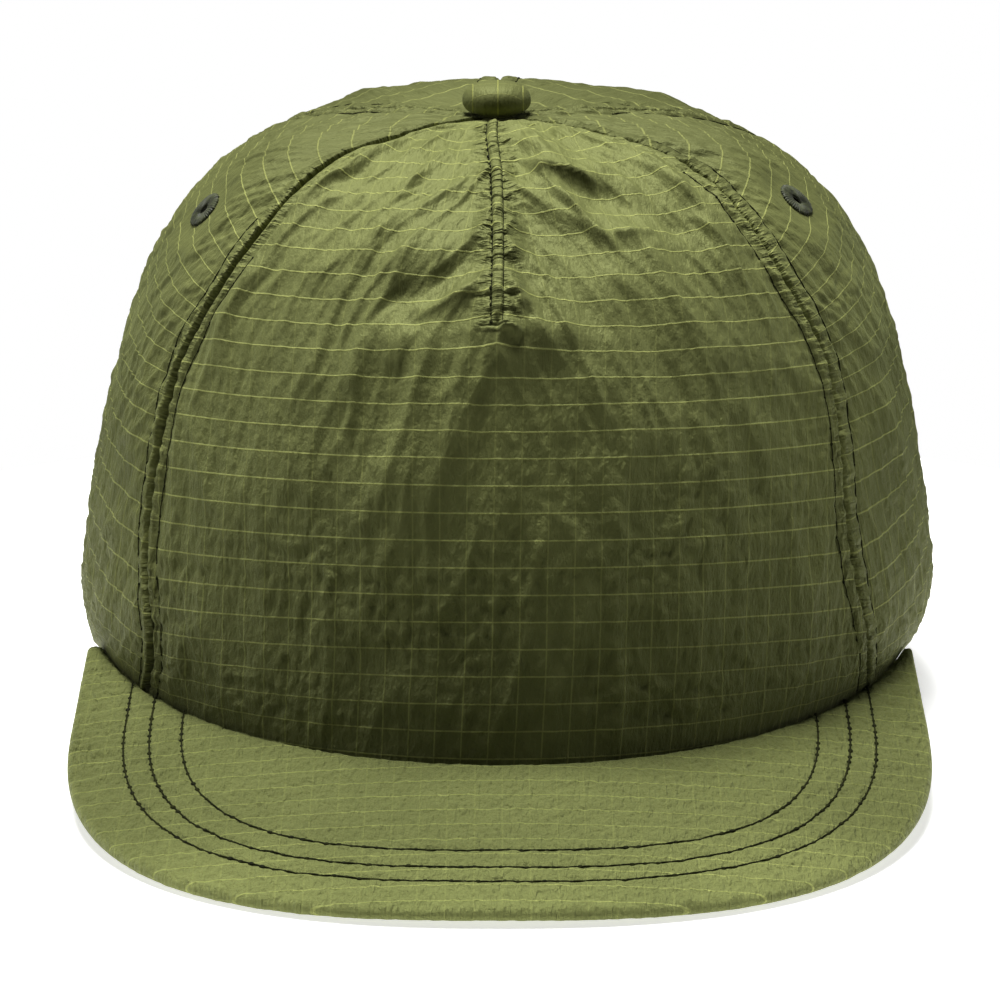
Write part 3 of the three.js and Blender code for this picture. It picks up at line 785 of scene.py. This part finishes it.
def build_panel(panel, material):
    """One cloth wall: a fine outside, a coarser inside and the edges between them."""
    grid = panel_grid(panel)
    shared, fine = relief(panel, grid)
    outer = grid["points"] + grid["normal"] * (shared + fine)[..., None]
    inner = grid["points"] + grid["normal"] * (shared - CLOTH)[..., None]
    inner = inner[::COARSE, ::COARSE]
    outer_index = grid_index(outer.shape)
    inner_index = outer_index.size + grid_index(inner.shape)
    outer_faces, inner_faces = quads(outer_index), quads(inner_index, flip=True)
    points = np.concatenate([outer.reshape(-1, 3), inner.reshape(-1, 3)])
    if is_side(panel):
        azimuth, arc = EYELETS[hand_of(panel)]
        middle = crown(math.radians(azimuth), arc)
        outer_faces = outer_faces[distance_to(points, outer_faces, middle) > HOLE_RADIUS]
        inner_faces = inner_faces[distance_to(points, inner_faces, middle) > HOLE_RADIUS]
    skin = outer_faces.tolist() + inner_faces.tolist()
    faces = skin + rim_faces(outer_index, inner_index)
    seam = np.minimum(grid["from_edge"], grid["to_edge"])
    if is_front(panel):
        beside = np.maximum(np.abs(grid["across"]) - DART_HALF, 0)
        below = np.maximum(DART_END - grid["arc"], 0)
        seam = np.minimum(seam, np.hypot(beside, 2 * below))
    # Painted shade and light in the cloth's colour, carried to the material in a coordinate layer
    tone = painted_shade_tone(panel, grid["arc"])
    layers = {
        "weave": weave_coordinates(panel, grid),
        "sewing": np.stack([seam, grid["arc"]], -1),
        "tone_and_painted_shade": np.stack([tone, tone], -1),
    }
    for name, values in layers.items():
        layers[name] = np.concatenate([values.reshape(-1, 2), values[::COARSE, ::COARSE].reshape(-1, 2)])
    piece = mesh_object(panel["name"], points, faces, material, len(skin), **layers)
    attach(piece, "root")
    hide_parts(panel["node"])
    grid["outer"] = outer
    return grid


def distance_to(points, faces, place):
    """Distance of the middle of each face from a place."""
    return np.linalg.norm(points[faces].mean(1) - place, axis=-1)


def line_on_panel(grid, measure, value, arc_from, arc_to):
    """A line up a panel where the given measure has a value: its points and outward directions."""
    places, directions = [], []
    arcs = grid["arc"][0]
    for row in np.flatnonzero((arcs >= arc_from) & (arcs <= arc_to)):
        order = np.argsort(measure[:, row])
        values = measure[order, row]
        if not values[0] < value < values[-1]:
            continue
        for found, source in ((places, grid["outer"]), (directions, grid["normal"])):
            found.append([np.interp(value, values, source[order, row, k]) for k in range(3)])
    return np.array(places), unit(np.array(directions))


def evenly(points, directions, pitch):
    """Points about a pitch apart along a line, with their directions."""
    length = np.concatenate([[0], np.cumsum(np.linalg.norm(np.diff(points, axis=0), axis=1))])
    count = max(2, int(round(length[-1] / pitch)))
    stations = np.linspace(0, length[-1], count + 1)

    def spread(values):
        return np.stack([np.interp(stations, length, values[:, k]) for k in range(3)], -1)

    return spread(points), unit(spread(directions))


def tube_faces(rings, sides):
    """Faces between neighbouring rings of points."""
    faces = []
    for ring in range(rings - 1):
        low, high = ring * sides, (ring + 1) * sides
        for k in range(sides):
            after = (k + 1) % sides
            faces.append([low + k, high + k, high + after, low + after])
    return faces


class Sewing:
    """Collects stitches and needle dots of one piece as one mesh."""

    def __init__(self):
        self.points = []
        self.faces = []
        self.count = 0

    def add(self, points, faces):
        self.points.append(points)
        self.faces.extend([[number + self.count for number in face] for face in faces])
        self.count += len(points)

    def stitch(self, start, end, up, radius):
        along = unit(end - start)
        aside = unit(np.cross(along, up))
        rings = []
        for share, rise in zip(STITCH_SHARES, STITCH_RISES):
            centre = start + (end - start) * share + up * rise
            for k in range(THREAD_SIDES):
                turn = 2 * math.pi * k / THREAD_SIDES
                rings.append(centre + radius * (math.cos(turn) * aside + math.sin(turn) * up))
        self.add(np.array(rings), tube_faces(len(STITCH_SHARES), THREAD_SIDES))

    def dot(self, place, along, up, radius):
        aside = unit(np.cross(along, up))
        rings = []
        for level in range(1, DOT_LEVELS):
            lift = math.pi * level / DOT_LEVELS
            for k in range(DOT_TURNS):
                turn = 2 * math.pi * k / DOT_TURNS
                flat = math.cos(turn) * along * 1.25 + math.sin(turn) * aside
                rings.append(place + radius * (math.sin(lift) * flat + 0.6 * math.cos(lift) * up))
        top, bottom = len(rings), len(rings) + 1
        rings.append(place + radius * 0.6 * up)
        rings.append(place - radius * 0.6 * up)
        faces = tube_faces(DOT_LEVELS - 1, DOT_TURNS)
        last = (DOT_LEVELS - 2) * DOT_TURNS
        for k in range(DOT_TURNS):
            after = (k + 1) % DOT_TURNS
            faces.append([top, k, after])
            faces.append([bottom, last + after, last + k])
        self.add(np.array(rings), faces)

    def row(self, points, directions, kind):
        """A row of stitches with a needle dot of uneven size at both ends of each one."""
        pitch, radius, dot = STITCHES[kind]
        stations, ups = evenly(points, directions, pitch)
        rng = np.random.default_rng(len(stations))
        for k in range(len(stations) - 1):
            self.stitch(stations[k], stations[k + 1], ups[k], radius)
        for k in range(len(stations)):
            along = unit(stations[min(k + 1, len(stations) - 1)] - stations[max(k - 1, 0)])
            size = dot * rng.uniform(0.6, 1.2)
            self.dot(stations[k] + ups[k] * 0.02, along, ups[k], size)

    def piece(self, name, material):
        piece = mesh_object(name, np.concatenate(self.points), self.faces, material)
        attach(piece, "root")
        return piece


def bill_outline(count):
    """Outline of the bill from the left wing's end to the right one's, and its inward normals."""
    power = 2 / BILL_CORNER_POWER
    turn = np.linspace(-math.pi / 2, math.pi / 2, 2001)
    front_x = BILL_SHIFT + BILL_HALF_WIDTH * np.sign(turn) * np.abs(np.sin(turn)) ** power
    front_y = -BILL_CORNER_START - (BILL_FRONT - BILL_CORNER_START) * np.abs(np.cos(turn)) ** power
    side_y = np.linspace(-BILL_TIP_REACH, -BILL_CORNER_START, 100)[:-1]
    left = np.stack([np.full_like(side_y, BILL_SHIFT - BILL_HALF_WIDTH), side_y], -1)
    right = np.stack([np.full_like(side_y, BILL_SHIFT + BILL_HALF_WIDTH), side_y], -1)[::-1]
    dense = np.concatenate([left, np.stack([front_x, front_y], -1), right])
    length = np.concatenate([[0], np.cumsum(np.linalg.norm(np.diff(dense, axis=0), axis=1))])
    stations = np.linspace(0, length[-1], count + 1)
    outline = np.stack([np.interp(stations, length, dense[:, k]) for k in range(2)], -1)
    tangent = unit(np.gradient(outline, axis=0))
    return outline, np.stack([-tangent[:, 1], tangent[:, 0]], -1)


def wall_points(rim, depth):
    """Where rays from the crown's axis to the rim meet the crown's wall at the bill's level."""
    wanted = np.arctan2(rim[:, 0], -rim[:, 1])
    azimuth = wanted.copy()
    arc = np.full_like(azimuth, 0.0 if depth > 0 else BILL_THICKNESS)
    for _ in range(12):
        point = crown(azimuth, arc)
        azimuth = azimuth + wanted - np.arctan2(point[:, 0], -point[:, 1])
        if depth == 0:
            arc = np.maximum(0, arc + bill_top(point[:, 0], point[:, 1]) - point[:, 2])
    point = crown(azimuth, arc)[:, :2]
    return point + unit(point) * JOIN_GAP


def outline_distance(x, y, outline):
    """Distance of plan points from the bill's outline."""
    flat = np.stack([x.ravel(), y.ravel()], -1)
    best = np.empty(len(flat))
    for start in range(0, len(flat), CHUNK):
        chunk = flat[start:start + CHUNK]
        best[start:start + CHUNK] = np.sqrt(((chunk[:, None] - outline[None]) ** 2).sum(-1)).min(1)
    return best.reshape(x.shape)


def bill_relief(x, y, edge):
    """Height of the bill's cloth over its smooth top."""
    height = 0.14 * crease(x / 9 + 0.4 * noise(x / 20, y / 20, 5), y / 7, 71)
    height = height + 0.27 * crease((x - y) / 3.4, (x + y) / 8.0, 72)
    height = height + 0.19 * crease(x / 1.9, y / 2.6, 73)
    for offset in STITCH_ROWS:
        height = height - 0.32 * bell(edge - offset, 0.75) + 0.05 * bell(edge - offset, 3)
    wing = smooth((15 - edge) / 13) * smooth((-38 - y) / 8) * smooth((y + 102) / 14)
    wing = wing * np.where(x < 0, 1.0, 0.45)
    ripples = noise(y / 3.3 + 0.25 * noise(x / 6, y / 9, 8), x / 16, 74)
    ripples = ripples + 0.7 * noise(y / 1.7, x / 12, 75)
    return height + 0.9 * wing * ripples


def build_bill(material):
    """The bill's cloth: rows from the join over the top, round the edge and back below."""
    outline, inward = bill_outline(BILL_COLUMNS)
    round_radius = BILL_THICKNESS / 2
    shoulder = outline + inward * round_radius
    high, low = wall_points(outline, 0), wall_points(outline, BILL_THICKNESS)
    sections = []
    for k in range(BILL_TOP_STEPS):
        sections.append((high + (shoulder - high) * (k / BILL_TOP_STEPS), 0.0, 1.0))
    for k in range(BILL_EDGE_STEPS + 1):
        turn = math.pi * k / BILL_EDGE_STEPS
        place = outline + inward * round_radius * (1 - math.sin(turn))
        sections.append((place, round_radius * (1 - math.cos(turn)), math.cos(turn)))
    for k in range(BILL_UNDER_STEPS - 1, -1, -1):
        sections.append((low + (shoulder - low) * (k / BILL_UNDER_STEPS), BILL_THICKNESS, -1.0))
    plans, depths, facings = zip(*sections)
    flat = np.stack(plans, 1)
    depth, facing = np.array(depths)[None, :], np.array(facings)[None, :]
    x, y = flat[..., 0], flat[..., 1]
    edge = outline_distance(x, y, outline)
    join = np.linalg.norm(flat - high[:, None], axis=-1)
    height = bill_relief(x, y, edge) - 0.9 * bell(join, 1.1)
    z = bill_top(x, y) - depth + facing * height * np.where(facing > 0, 1.0, UNDER_RELIEF)
    points = np.stack([x, y, z], -1)
    index = grid_index(points.shape, close_second=True)
    faces = quads(index, flip=True).tolist()
    skin = len(faces)
    faces.append(index[0, :-1].tolist())
    faces.append(index[-1, :-1][::-1].tolist())
    nearest = np.min([np.abs(edge - offset) for offset in STITCH_ROWS], axis=0)
    # Painted light towards the bill's front edge and painted shade on its wings
    tone = BILL_TONE + BILL_FRONT_PAINTED_LIGHT * smooth((34 - edge) / 30) * smooth((-110 - y) / 30)
    tone = tone + BILL_WING_PAINTED_SHADE * smooth((np.abs(x) - 62) / 12)
    layers = {
        "weave": np.stack([x / CELL, -(y + 99) / BILL_CELL], -1).reshape(-1, 2),
        "sewing": np.stack([6 + nearest, 0 * edge], -1).reshape(-1, 2),
        "tone_and_painted_shade": np.stack([tone, tone], -1).reshape(-1, 2),
    }
    piece = mesh_object("bill_cloth", points.reshape(-1, 3), faces, material, skin, **layers)
    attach(piece, "root")
    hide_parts("bill")
    return outline, inward


def bill_stitches(outline, inward, material):
    """Three rows of stitches round the bill, on its top and on its underside."""
    sewing = Sewing()
    for offset in STITCH_ROWS:
        row = outline + inward * offset
        wall = wall_points(row, 0)
        clear = np.hypot(row[:, 0], row[:, 1]) > np.hypot(wall[:, 0], wall[:, 1]) + 0.6
        row = row[clear]
        x, y = row[:, 0], row[:, 1]
        height = bill_relief(x, y, np.full_like(x, offset))
        for depth, sign, share in ((0.0, 1.0, 1.0), (BILL_THICKNESS, -1.0, UNDER_RELIEF)):
            z = bill_top(x, y) - depth + sign * share * height
            up = np.tile(BILL_UP, (len(x), 1)) * sign
            sewing.row(np.stack([x, y, z], -1), up, "bill")
    sewing.piece("bill_stitches", material)


def build_button(material):
    """The cloth covered button: a dome with a rolled underside."""
    turns, steps = 128, 44
    seat = SECTION["high_front"][-1] + 0.3
    profile = [(SHANK_RADIUS, 0.0)]
    for k in range(steps):
        turn = math.radians(-78 + (90 + 78) * k / steps)
        reach = BUTTON_WAIST if turn < 0 else BUTTON_HEIGHT - BUTTON_WAIST
        lift = math.copysign(abs(math.sin(turn)) ** 0.9, turn)
        profile.append((BUTTON_RADIUS * math.cos(turn) ** 0.66, BUTTON_WAIST + reach * lift))
    radius = np.array([p[0] for p in profile])[None, :]
    height = np.array([p[1] for p in profile])[None, :]
    angle = (2 * math.pi * np.arange(turns) / turns)[:, None]
    x, y = radius * np.sin(angle), -radius * np.cos(angle)
    gathered = 0.12 * noise(angle * 9, height / 4, 91) * smooth((3.4 - height) / 3)
    swell = 1 + (gathered + 0.1 * noise(x / 5, y / 5 + height / 6, 92)) / BUTTON_RADIUS
    points = np.stack([x * swell + CROWN_SHIFT_AT_TOP, y * swell, seat + height + 0 * x], -1)
    index = grid_index(points.shape, close_first=True)
    apex = points.shape[0] * points.shape[1]
    faces = quads(index).tolist()
    faces += [[int(index[k, -1]), int(index[k + 1, -1]), apex] for k in range(turns)]
    faces.append(index[:-1, 0][::-1].tolist())
    top = [CROWN_SHIFT_AT_TOP, 0, seat + BUTTON_HEIGHT]
    flat_points = np.concatenate([points.reshape(-1, 3), [top]])
    stretch = flat_points - top
    back = stretch[:, 1] + 0.75 * stretch[:, 2]
    layers = {
        "weave": np.stack([(stretch[:, 0] - 0.3) / CELL, back / CELL + 0.35], -1),
        "sewing": np.tile([NO_SEAM, 0.0], (len(flat_points), 1)),
        "tone_and_painted_shade": np.full((len(flat_points), 2), BUTTON_TONE),
    }
    piece = mesh_object("button_cover", flat_points, faces, material, **layers)
    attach(piece, "root")
    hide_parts("top_button")


def build_eyelet(side, material):
    """An embroidered ring of radial stitches round the hole."""
    turns, steps = 264, 20
    azimuth, arc = EYELETS[side]
    azimuth = math.radians(azimuth)
    centre = crown(azimuth, arc)
    step = 1e-3
    along = unit(crown(azimuth, arc + step) - centre)
    normal = unit(np.cross(crown(azimuth + step, arc) - centre, along))
    aside = unit(np.cross(along, normal))
    half = (EYELET_RADIUS - EYELET_BORE) / 2
    angle = (2 * math.pi * np.arange(turns) / turns)[:, None]
    lift = (2 * math.pi * np.arange(steps) / steps)[None, :]
    rib = np.abs(np.sin(angle * EYELET_THREADS / 2 + 0.35 * np.sin(lift)))
    ragged = 0.35 * noise(angle * EYELET_THREADS / 6.3, lift * 0, 97)
    body = half * (1 + ragged * smooth(np.cos(lift)) * 0.5)
    radius = EYELET_BORE + half + body * np.cos(lift)
    height = (EYELET_HEIGHT / 2) * np.sin(lift) * (0.82 + 0.22 * rib)
    radius = radius + 0.12 * (rib - 0.5) * np.sign(np.cos(lift))
    flat_x, flat_y = radius * np.cos(angle), radius * np.sin(angle)
    points = centre + flat_x[..., None] * aside + flat_y[..., None] * along + height[..., None] * normal
    index = grid_index(points.shape, close_first=True, close_second=True)
    piece = mesh_object("eyelet_ring_" + side, points.reshape(-1, 3), quads(index).tolist(), material)
    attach(piece, "root")
    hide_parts("eyelet_" + side)


def add_node(tree, kind, inputs, output=0, **settings):
    """A shader node whose inputs, by number or name, are constants or outputs of other nodes."""
    node = tree.nodes.new("ShaderNode" + kind)
    for name, value in settings.items():
        setattr(node, name, value)
    fill(tree, node, inputs)
    return node.outputs[output]


def fill(tree, node, inputs):
    """Sets or links a node's inputs."""
    for key, value in inputs.items():
        if isinstance(value, bpy.types.NodeSocket):
            tree.links.new(value, node.inputs[key])
        else:
            node.inputs[key].default_value = value


def math_node(tree, operation, first, second):
    return add_node(tree, "Math", {0: first, 1: second}, operation=operation)


def noise_node(tree, coordinates, scale, detail, roughness=0.5):
    inputs = {"Scale": scale, "Detail": detail, "Roughness": roughness, "Vector": coordinates}
    return add_node(tree, "TexNoise", inputs)


def range_node(tree, value, low, high, to_low, to_high):
    inputs = {"Value": value, "From Min": low, "From Max": high, "To Min": to_low, "To Max": to_high}
    return add_node(tree, "MapRange", inputs, interpolation_type="SMOOTHSTEP")


def mix_node(tree, factor, first, second):
    """Mixed colour; a tuple of three is a plain colour."""
    first, second = ((*dye, 1) if isinstance(dye, tuple) else dye for dye in (first, second))
    return add_node(tree, "Mix", {0: factor, 6: first, 7: second}, 2, data_type="RGBA")


def bump_node(tree, height, distance, normal=None):
    inputs = {"Distance": distance, "Height": height}
    if normal is not None:
        inputs["Normal"] = normal
    return add_node(tree, "Bump", inputs)


def stretched(tree, coordinates, factors):
    return add_node(tree, "VectorMath", {0: coordinates, 1: factors}, operation="MULTIPLY")


def layer_nodes(tree, name):
    """A coordinate layer of the mesh as a vector, and its two numbers."""
    vector = add_node(tree, "UVMap", {}, uv_map=name)
    split = add_node(tree, "SeparateXYZ", {0: vector}).node
    return vector, split.outputs[0], split.outputs[1]


def new_material(name):
    """A material with its node tree, its shader and the object's own coordinates."""
    material = bpy.data.materials.new(name)
    material.use_nodes = True
    tree = material.node_tree
    place = add_node(tree, "TexCoord", {}, "Object")
    return material, tree, tree.nodes["Principled BSDF"], place


def ripstop(name, dyes, thread, across_strength, up_strength, roughness_of_cloth):
    """Crinkled nylon with a grid of thicker threads."""
    material, tree, shader, place = new_material(name)
    weave, across, up = layer_nodes(tree, "weave")
    sewing, from_seam, arc = layer_nodes(tree, "sewing")
    tone_and_painted_shade = layer_nodes(tree, "tone_and_painted_shade")[1]
    uneven = noise_node(tree, place, *UNEVEN_THREAD)
    lines = []
    for output, strength in ((across, across_strength), (up, up_strength)):
        distance = math_node(tree, "PINGPONG", math_node(tree, "ABSOLUTE", output, 0.0), 0.5)
        line = range_node(tree, distance, LINE_WIDTH * 0.55, LINE_WIDTH * 1.35, 1.0, 0.0)
        varied = range_node(tree, uneven, 0.3, 0.7, strength * 0.72, strength)
        lines.append(math_node(tree, "MULTIPLY", line, varied))
    lines[0] = math_node(tree, "MULTIPLY", lines[0], range_node(tree, arc, 10, 75, 1.0, 0.3))
    grid = math_node(tree, "MAXIMUM", lines[0], lines[1])
    patches = noise_node(tree, place, *DYE_PATCHES)
    cloth = mix_node(tree, range_node(tree, patches, 0.3, 0.7, 0.0, 1.0), *dyes)
    # Base colour is the dyed cloth scaled by a layer holding painted light and shade on the crown and
    # bill, and the button's plain tone
    dyed_and_shaded = {0: mix_node(tree, grid, cloth, thread), "Scale": tone_and_painted_shade}
    near_seam = range_node(tree, from_seam, 0.5, PUCKER_REACH, 1.0, 0.0)
    puckers = noise_node(tree, stretched(tree, sewing, (0.28, 0.8, 1.0)), 1.0, 2)
    lively = range_node(tree, arc, 30, 90, 1.5, 0.5)
    along_threads = noise_node(tree, stretched(tree, weave, (3.2, 1.1, 1.0)), *THREAD_GRAIN)
    every_way = noise_node(tree, place, *CLOTH_GRAIN)
    rough = math_node(tree, "ADD", along_threads, math_node(tree, "MULTIPLY", every_way, 0.4))
    first = bump_node(tree, math_node(tree, "MULTIPLY", rough, lively), roughness_of_cloth * MM)
    second = bump_node(tree, math_node(tree, "MULTIPLY", puckers, near_seam), PUCKER_HEIGHT * MM, first)
    fill(tree, shader, {
        "Base Color": add_node(tree, "VectorMath", dyed_and_shaded, operation="SCALE"),
        "Roughness": range_node(tree, patches, 0.25, 0.75, 0.5, 0.6),
        "Specular IOR Level": 0.6,
        "Specular Tint": (0.93, 1.0, 0.4, 1),
        "Sheen Weight": 0.1,
        "Sheen Roughness": 0.45,
        "Sheen Tint": (0.75, 0.85, 0.5, 1),
        "Normal": bump_node(tree, grid, LINE_HEIGHT * MM, second),
    })
    return material


def thread_material(name, dyes, fibre, roughness, gloss, height):
    """Dark thread; fibre is the scale, detail and roughness of its noise."""
    material, tree, shader, place = new_material(name)
    fuzz = noise_node(tree, place, *fibre)
    fill(tree, shader, {
        "Base Color": mix_node(tree, range_node(tree, fuzz, 0.3, 0.7, 0.0, 1.0), *dyes),
        "Roughness": range_node(tree, fuzz, 0.3, 0.7, *roughness),
        "Normal": bump_node(tree, fuzz, height * MM),
        **gloss,
    })
    return material


def sew_crown(grids, material):
    """Topstitching on both sides of each seam and along the dart."""
    sewing = Sewing()
    for name, grid in grids.items():
        for side in EDGES:
            kind = grid["panel"][side]
            offset = LIP_STITCH if kind == "lip" else TOPSTITCH
            top = STITCH_TOP.get((name, side), STITCH_TOP_ELSEWHERE)
            points, ups = line_on_panel(grid, grid[side], offset, STITCH_START, top)
            sewing.row(points, ups, "pressed" if kind == "pressed" else "seam")
    front = grids["front_cloth"]
    dart_rows = {"dart_left": -DART_HALF - DART_ROW_LEFT, "dart_right": DART_HALF + DART_ROW_RIGHT}
    for kind, across in dart_rows.items():
        points, ups = line_on_panel(front, front["across"], across, DART_END, DART_TOP)
        sewing.row(points, ups, kind)
    sewing.piece("crown_stitches", material)


def studio():
    """Pale floor, soft light from above and from both sides, and the camera at the photograph's angle."""
    scene = bpy.context.scene
    floor_mesh = bpy.data.meshes.new("floor")
    turns = np.linspace(0, 2 * math.pi, FLOOR_SIDES, endpoint=False)
    rim = [(FLOOR_RADIUS * math.cos(turn), FLOOR_RADIUS * math.sin(turn), 0) for turn in turns]
    floor_mesh.from_pydata(rim, [], [list(range(FLOOR_SIDES))])
    floor = bpy.data.objects.new("floor", floor_mesh)
    scene.collection.objects.link(floor)
    paint, tree, shader, _ = new_material("floor_paint")
    fill(tree, shader, {
        "Base Color": (0.65, 0.65, 0.65, 1),
        "Emission Color": (1, 1, 1, 1),
        "Emission Strength": 0.68,
        "Roughness": 0.9,
        "Specular IOR Level": 0.1,
    })
    floor_mesh.materials.append(paint)
    floor.location.z = -FLOOR_DROP

    # The world looks white to the camera and gives the cap only a little light
    world = bpy.data.worlds.new("studio")
    scene.world = world
    world.use_nodes = True
    tree = world.node_tree
    fill(tree, tree.nodes["Background"], {"Color": (1, 1, 1, 1), "Strength": WORLD_SEEN})
    dim = add_node(tree, "Background", {"Color": (1, 1, 1, 1), "Strength": WORLD_LIGHT})
    seen = add_node(tree, "LightPath", {}, "Is Camera Ray")
    both = {0: seen, 1: dim, 2: tree.nodes["Background"].outputs[0]}
    fill(tree, tree.nodes["World Output"], {0: add_node(tree, "MixShader", both)})

    # A soft light hangs above the cap, a little behind it, and weaker ones stand on both sides
    for name, place, size, power in LIGHTS:
        light = bpy.data.lights.new(name, "AREA")
        light.size = size
        light.energy = power
        lamp = bpy.data.objects.new(name, light)
        lamp.location = place
        lamp.rotation_euler = (Vector(LIGHT_AIM) - Vector(place)).to_track_quat("-Z", "Y").to_euler()
        scene.collection.objects.link(lamp)

    back = Vector((0, -math.cos(CAMERA_ELEVATION), math.sin(CAMERA_ELEVATION)))
    lens = bpy.data.cameras.new("camera")
    lens.sensor_fit = "HORIZONTAL"
    lens.sensor_width = SENSOR
    lens.lens = SENSOR * FOCAL_PIXELS / PHOTO_PIXELS
    lens.clip_start = 0.05
    lens.clip_end = 50
    camera = bpy.data.objects.new("camera", lens)
    camera.location = Vector(to_frame(CAMERA_AIM)) + back * CAMERA_DISTANCE * MM
    camera.rotation_euler = (-back).to_track_quat("-Z", "Y").to_euler()
    scene.collection.objects.link(camera)
    scene.camera = camera
    scene.view_settings.view_transform = "Standard"
    scene.view_settings.gamma = 0.84


studio()
crown_cloth = ripstop("crown_ripstop", CROWN_DYES, CROWN_GRID, 0.45, 0.65, 1.0)
bill_cloth = ripstop("bill_ripstop", BILL_DYES, BILL_GRID, 0.14, 0.6, 1.8)
button_cloth = ripstop("button_ripstop", CROWN_DYES, BUTTON_GRID, 0.7, 0.2, 0.25)
dark_thread = thread_material(
    "dark_thread", THREAD_DYES, (900, 3), (0.6, 0.8), {"Specular IOR Level": 0.1}, 0.2
)
eyelet_thread = thread_material(
    "eyelet_thread", EYELET_DYES, (700, 4, 0.6), (0.5, 0.75), {"Sheen Weight": 0.2}, 0.3
)
panel_grids = {}
for values in PANELS:
    panel = dict(zip(PANEL_COLUMNS, values))
    panel_grids[panel["name"]] = build_panel(panel, crown_cloth)
bill_plan, bill_inward = build_bill(bill_cloth)
build_button(button_cloth)
for side in EYELETS:
    build_eyelet(side, eyelet_thread)
sew_crown(panel_grids, dark_thread)
bill_stitches(bill_plan, bill_inward, dark_thread)
